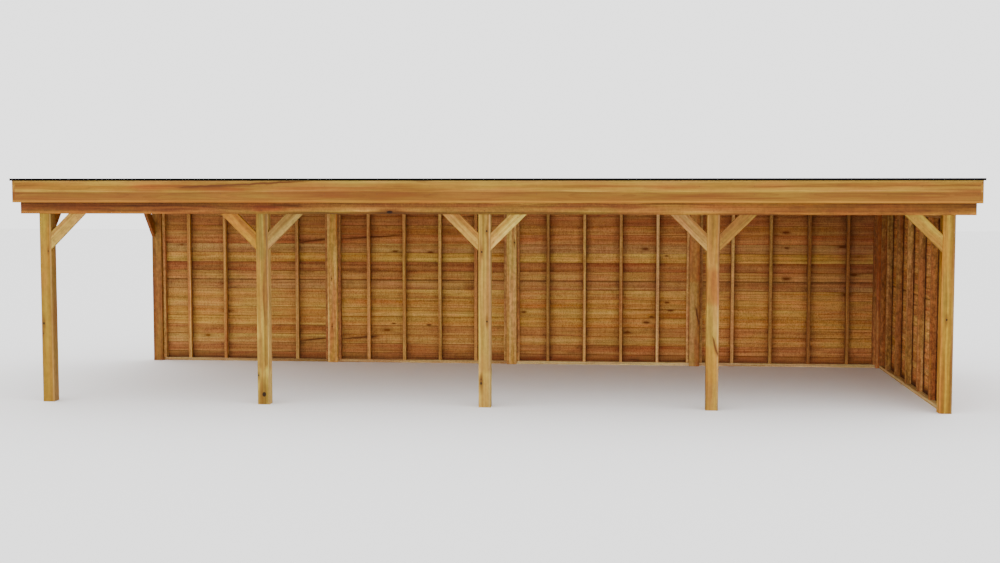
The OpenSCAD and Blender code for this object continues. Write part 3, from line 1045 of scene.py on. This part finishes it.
def stud_wall(node):
    """Plates and studs of one wall."""
    along_x, low, high, length, depth, height = wall_sizes(node)
    seed, plate_tones, free_tones, edge_tones = FRAME_SEEDS[node]
    # a bar lies along X with its depth along +Y: for the side wall it is turned onto +Y
    unit = Vector(ALONG if along_x else DEEP)
    turn = 0 if along_x else 90
    start = low if along_x else Vector((high.x, low.y, low.z))
    plates = rows(
        bar("plate", length, depth, STUD_W), MATERIAL["plate"], start, (0, 0, height - STUD_W), 2,
        turn=(0, 0, turn), seed=seed, tone_seed=plate_tones,
    )

    # a stud is a bar turned upright, its width along the wall
    stud = bar("stud", height - 2 * STUD_W, depth, STUD_W)
    upright = (0, -90, turn)
    foot = start + Vector((0, 0, STUD_W))
    first, pitch, count = free_studs(node)
    offset = first - (low.x if along_x else low.y)
    free = rows(
        stud, MATERIAL["stud" if along_x else "side_stud"], foot + unit * offset + unit * (STUD_W / 2),
        unit * pitch, count, turn=upright, seed=seed + 1, tone_seed=free_tones,
    )
    edges = rows(
        stud, MATERIAL["edge" if along_x else "side_stud"], foot + unit * STUD_W,
        unit * (length - STUD_W), 2, turn=upright, seed=seed + 2, tone_seed=edge_tones,
    )
    finish_piece(node + "_timbers", [plates, free, edges], "wall_frame_timber", node)


# Marks of the boards of each wall, at their places in the frame: knots (x, height, radius), cracks and
# patches as on timbers, tints of the foot and the head (painted light, lighter towards the head), and how
# strong the painted shade by the studs is
WALL_MARKS = {
    "back_boarding_1": {
        "cracks": (((-3.04, 1.661), (-2.50, 1.731), 0.010), ((-3.03, 0.274), (-2.55, 0.338), 0.009)),
        "tints": ((0.82, 0.82, 0.81), (0.96, 0.96, 0.97)),
        "stained": 0.7,
    },
    "back_boarding_2": {
        "knots": (
            (-1.633, 1.55, 0.018), (-1.139, 1.537, 0.020), (-1.658, 0.539, 0.014), (-1.162, 0.524, 0.015),
        ),
        "cracks": (((-2.52, 1.711), (-1.45, 1.777), 0.010), ((-2.45, 0.312), (-1.80, 0.370), 0.009)),
        "patches": (
            ((-2.7, 1.25), (-1.95, 2.3), (0.86, 0.78, 0.80), 0.1),
            ((-0.67, 1.0), (-0.53, 1.1), (0.70, 0.55, 0.45), 0.04),
        ),
        "tints": ((0.96, 0.98, 0.99), (1.09, 1.08, 1.08)),
        "stained": 0.7,
    },
    "back_boarding_3": {
        "knots": (
            (1.83, 1.595, 0.022), (2.12, 1.50, 0.014), (2.13, 0.86, 0.016), (2.18, 0.75, 0.020),
            (1.92, 0.66, 0.014), (1.85, 0.585, 0.022), (0.16, 0.715, 0.018),
        ),
        "tints": ((1.01, 0.99, 1.04), (1.26, 1.24, 1.34)),
    },
    "back_boarding_4": {
        "knots": ((3.73, 1.824, 0.024), (3.74, 1.614, 0.013), (3.74, 1.195, 0.026)),
        # the last metre towards the corner with the side wall is darker
        "patches": (((4.3, 0.55), (5.3, 2.3), (0.84, 0.80, 0.90), 0.25),),
        "tints": ((1.18, 1.16, 1.25), (1.23, 1.16, 1.25)),
    },
}
# Seeds of the grain of each wall's boards
BOARD_GRAIN = {
    "back_boarding_1": 15, "back_boarding_2": 25, "back_boarding_3": 35, "back_boarding_4": 45,
    "side_boarding": 65,
}
# Seeds of the board tones, the same in every bay, searched for in the same way: the first board,
# those above it, the last
FIRST_BOARD_SEED = 45
BOARD_SEED = 832285
LAST_BOARD_SEED = 3575


def boarded_wall(node):
    """Lapped boards of one wall."""
    along_x, low, high, length, thickness, height = wall_sizes(node)
    seed = BOARD_GRAIN[node]
    turn = (0, 0, 0) if along_x else (0, 0, -90)
    start = low if along_x else Vector((low.x, high.y, low.z))
    step = Vector((0, 0, BOARD_PITCH))
    whole = int(height / BOARD_PITCH)
    rest = height - whole * BOARD_PITCH
    first, pitch, _ = free_studs(node)
    marks = {"node": node, "across": 0 if along_x else 1, "first": first, "pitch": pitch}
    marks |= WALL_MARKS.get(node, {})
    if along_x:
        material = board_wood(node, "wall", light=0.26, red=0.9, fade=-0.05, wall=marks, **BOARD_FINISH)
    else:
        material = board_wood(node, "side_wall", light=0.15, red=0.5, wall=marks, mottle=0.30, **BOARD_FINISH)
    first_board = weatherboard("first_board", length, thickness, lap=0.0)
    board = weatherboard("board", length, thickness)
    last_board = weatherboard("last_board", length, thickness, cover=rest + BOARD_GAP)
    boards = [
        rows(first_board, material, start, turn=turn, seed=seed, tone_seed=FIRST_BOARD_SEED),
        rows(board, material, start + step, step, whole - 1, turn=turn, seed=seed + 1, tone_seed=BOARD_SEED),
        rows(last_board, material, start + step * whole, turn=turn, seed=seed + 2, tone_seed=LAST_BOARD_SEED),
    ]
    finish_piece(node + "_boards", boards, "wall_boards", node)


# ---- Roof ------------------------------------------------------------------------

JOISTS = 19
JOIST_W = 0.045
DECK_BOARD = 0.138
DECK_GAP = 0.001
DECK_T = 0.018
KERB_W = 0.045


def joist_pitch():
    low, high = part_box("roof_joists")
    return (high[0] - low[0] - JOIST_W) / (JOISTS - 1)


def roof():
    """Joists, deck boards and kerb battens."""
    wood_used = MATERIAL["roof"]
    low, high = (Vector(v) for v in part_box("roof_joists"))
    joist = bar("joist", high.y - low.y, JOIST_W, high.z - low.z)
    start = (low.x + JOIST_W, low.y, low.z)
    joists = rows(joist, wood_used, start, (joist_pitch(), 0, 0), JOISTS, turn=(0, 0, 90), seed=301)
    finish_piece("joists", [joists], "roof_timber", "roof_joists")

    low, high = (Vector(v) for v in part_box("roof_deck"))
    size = high - low
    count = round(size.y / DECK_BOARD)
    pitch = size.y / count
    board = bar("deck_board", size.x, pitch - DECK_GAP, DECK_T)
    foot = low + Vector((0, 0, DECK_T))
    corner = foot + Vector((KERB_W, KERB_W, 0))
    long_kerb = bar("long_kerb", size.x, KERB_W, size.z - DECK_T)
    side_kerb = bar("side_kerb", size.y - 2 * KERB_W, KERB_W, size.z - DECK_T)
    pieces = [
        rows(board, wood_used, low, (0, pitch, 0), count, seed=311),
        rows(long_kerb, wood_used, foot, (0, size.y - KERB_W, 0), 2, seed=321),
        rows(side_kerb, wood_used, corner, (size.x - KERB_W, 0, 0), 2, turn=(0, 0, 90), seed=331),
    ]
    finish_piece("deck_boards", pieces, "roof_boards", "roof_deck")


# ---- Fixings -----------------------------------------------------------------------

# A head of size 1: its sides, radius and thickness, and its drive's radius, points and floor
HEAD_SIDES = 12
HEAD_R = 0.0042
HEAD_T = 0.0012
DRIVE_R = 0.0021
DRIVE_POINT = 1.18
DRIVE_FOOT_R = 0.0015
DRIVE_FOOT = 0.0003
# How far a head is let into the wood
HEAD_SINK = 0.0004
# Brace screws: from the edge of the brace, and from each other
SCREW_EDGE = 0.032
SCREW_APART = 0.06
# Screws through a beam into a post, and through a fascia into a joist: height over the foot of the
# beam or joist, and distance between the two
POST_SCREW_SIZE = 1.5
POST_SCREW_UP = 0.04
POST_SCREW_APART = 0.10
JOIST_SCREW_UP = 0.03
FASCIA_SCREW_APART = 0.085
# Screws of the side fascias: from the corners, from the top, and the spaces between them
SIDE_SCREW_EDGE = 0.1
SIDE_SCREW_DOWN = 0.17
SIDE_SCREW_SPACES = 7
# Nails: size, height over the foot of each board, and depth behind the lips of the boards
NAIL_SIZE = 0.7
NAIL_UP = 0.03
NAIL_BACK = 0.0036
# Turns that point a head, made facing up, to each side
FACING = {"front": (90, 0, 0), "back": (-90, 0, 0), "right": (0, 90, 0), "left": (0, -90, 0)}


def heads(facing, start, step, count, row_step=(0, 0, 0), row_count=1, size=1.0):
    return rows(screw_head(size), MATERIAL["screw"], start, step, count, row_step, row_count, FACING[facing])


def brace_screws():
    """Two screws beside each seat of every brace."""
    low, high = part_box("brace_1_right")
    near = SCREW_EDGE
    far = high[0] - low[0] - BRACE_W / math.sqrt(2) - SCREW_EDGE - SCREW_APART / 2
    front = low[1] + HEAD_SINK
    bays = ((BAY, 0, 0), POSTS - 1)
    made = []
    for side, first in ((1, 0), (-1, 1)):
        face = POST_X[first] + side * POST_W / 2
        post_seat = (face + side * near, front, high[2] - far - SCREW_APART)
        beam_seat = (face + side * far, front, high[2] - near)
        made.append(heads("front", post_seat, (0, 0, SCREW_APART), 2, *bays))
        made.append(heads("front", beam_seat, (side * SCREW_APART, 0, 0), 2, *bays))
    for node, side in (("side_brace_front", 1), ("side_brace_back", -1)):
        low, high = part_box(node)
        face = low[1] if side == 1 else high[1]
        left = low[0] + HEAD_SINK
        post_seat = (left, face + side * near, high[2] - far - SCREW_APART)
        beam_seat = (left, face + side * far, high[2] - near)
        made.append(heads("left", post_seat, (0, 0, SCREW_APART), 2))
        made.append(heads("left", beam_seat, (0, side * SCREW_APART, 0), 2))
    finish_piece("brace_screws", made, "fixings")


def frame_screws():
    """Large heads where a beam crosses a post, small ones round the fascias."""
    made = []
    joist_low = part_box("roof_joists")[0]
    for side, end, sign in (("front", 0, -1), ("back", 1, 1)):
        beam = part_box(f"{side}_beam")
        start = (POST_X[0], beam[end][1] - sign * HEAD_SINK, beam[0][2] + POST_SCREW_UP)
        step = (0, 0, POST_SCREW_APART)
        made.append(heads(side, start, step, 2, (BAY, 0, 0), POSTS, POST_SCREW_SIZE))
        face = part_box(f"{side}_fascia")[end][1] - sign * HEAD_SINK
        start = (joist_low[0] + JOIST_W / 2, face, joist_low[2] + JOIST_SCREW_UP)
        made.append(heads(side, start, (0, 0, FASCIA_SCREW_APART), 2, (joist_pitch(), 0, 0), JOISTS))
    for side, end, sign in (("left", 0, -1), ("right", 1, 1)):
        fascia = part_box(f"{side}_fascia")
        low, high = fascia
        pitch = (high[1] - low[1] - 2 * SIDE_SCREW_EDGE) / SIDE_SCREW_SPACES
        start = (fascia[end][0] - sign * HEAD_SINK, low[1] + SIDE_SCREW_EDGE, high[2] - SIDE_SCREW_DOWN)
        step = (0, 0, FASCIA_SCREW_APART)
        made.append(heads(side, start, step, 2, (0, pitch, 0), SIDE_SCREW_SPACES + 1))
    finish_piece("frame_screws", made, "fixings")


def board_nails():
    """One nail a board at every stud, on the outside of the walls."""
    made = []
    for node in BOARD_GRAIN:
        low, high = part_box(node)
        foot = low[2] + NAIL_UP
        boards = int((high[2] - foot) / BOARD_PITCH) + 1
        # a wall runs along its axis, and its boards face along the other one
        facing, axis = ("back", 0) if node.startswith("back") else ("right", 1)
        depth = high[1 - axis] - NAIL_BACK
        edge_studs = low[axis] + STUD_W / 2, high[axis] - low[axis] - STUD_W, 2
        for first, pitch, count in (free_studs(node), edge_studs):
            start = (depth, first, foot) if axis else (first, depth, foot)
            step = (0, pitch, 0) if axis else (pitch, 0, 0)
            made.append(heads(facing, start, step, count, (0, 0, BOARD_PITCH), boards, NAIL_SIZE))
    finish_piece("board_nails", made, "fixings")


# ---- Materials in use ---------------------------------------------------------------

BOARD_FINISH = {"sawn": 0.8, "knots": 0.12, "bands": 0.2, "streaks": 0.16, "relief": 0.003}
STUD_FINISH = {"sawn": 0.6, "knots": 0.08, "streaks": 0.2}
MATERIAL = {
    "stud": board_wood("sawn_timber", "stud", light=0.38, red=0.8, fade=0.08, mottle=0.10, **STUD_FINISH),
    "edge": board_wood("edge_timber", "edge", light=0.24, red=0.8, mottle=0.24, **STUD_FINISH),
    # the plates' heads over HEAD_LEVEL take a painted shadow of the beams
    "plate": board_wood(
        "plate_timber", "plate", light=0.30, red=0.4, fade=0.05, head=(0.62, 0.42, 0.35), mottle=0.05,
        **STUD_FINISH,
    ),
    "side_stud": board_wood("side_timber", "side_stud", light=0.14, red=0.6, mottle=0.32, **STUD_FINISH),
    "roof": board_wood("planed_timber", "roof", knots=0.2, streaks=0.2, light=0.10, red=0.4),
    "trim": coating("black_coating", (4, 3, 3), 0.8, grain=300.0, gloss=0.05),
    "screw": coating("brown_coating", (84, 44, 14), 0.6, grain=900.0, gloss=0.3),
    "rubber": sheet_rubber(),
}

dress_posts()
dress_beams_and_braces()
dress_fascias()
for bay in range(1, POSTS):
    stud_wall(f"back_frame_{bay}")
    boarded_wall(f"back_boarding_{bay}")
stud_wall("side_frame")
boarded_wall("side_boarding")
for side in ("front", "back", "left", "right"):
    dress(f"{side}_trim", MATERIAL["trim"])
dress("roof_membrane", MATERIAL["rubber"])
roof()
brace_screws()
frame_screws()
board_nails()

# ---- Floor and light ------------------------------------------------------------------

FLOOR_REACH = 60.0
SKY_STRENGTH = 2.4
# A wide sun low in front, a little to the left; its angle in degrees
SUN_FROM = (-0.22, -1.0, 0.10)
SUN_STRENGTH = 0.8
SUN_ANGLE = 36


def floor():
    corners = [(x * FLOOR_REACH, y * FLOOR_REACH, 0) for x, y in ((-1, -1), (1, -1), (1, 1), (-1, 1))]
    made = new_object("floor", new_mesh("floor", corners, [(0, 1, 2, 3)]))
    material, g, shader = new_material("pale_floor", gloss=0.0)
    g.set(shader["Base Color"], (0.9, 0.9, 0.9))
    g.set(shader["Roughness"], 0.9)
    made.data.materials.append(material)


def lighting():
    world = bpy.data.worlds.new("studio")
    world.use_nodes = True
    sky = world.node_tree.nodes["Background"].inputs
    sky["Color"].default_value = (1, 1, 1, 1)
    sky["Strength"].default_value = SKY_STRENGTH
    bpy.context.scene.world = world
    data = bpy.data.lights.new("key", "SUN")
    data.energy = SUN_STRENGTH
    data.angle = math.radians(SUN_ANGLE)
    sun = new_object("key", data)
    sun.location = SUN_FROM
    sun.rotation_euler = (-Vector(SUN_FROM)).to_track_quat("-Z", "Y").to_euler()


floor()
lighting()
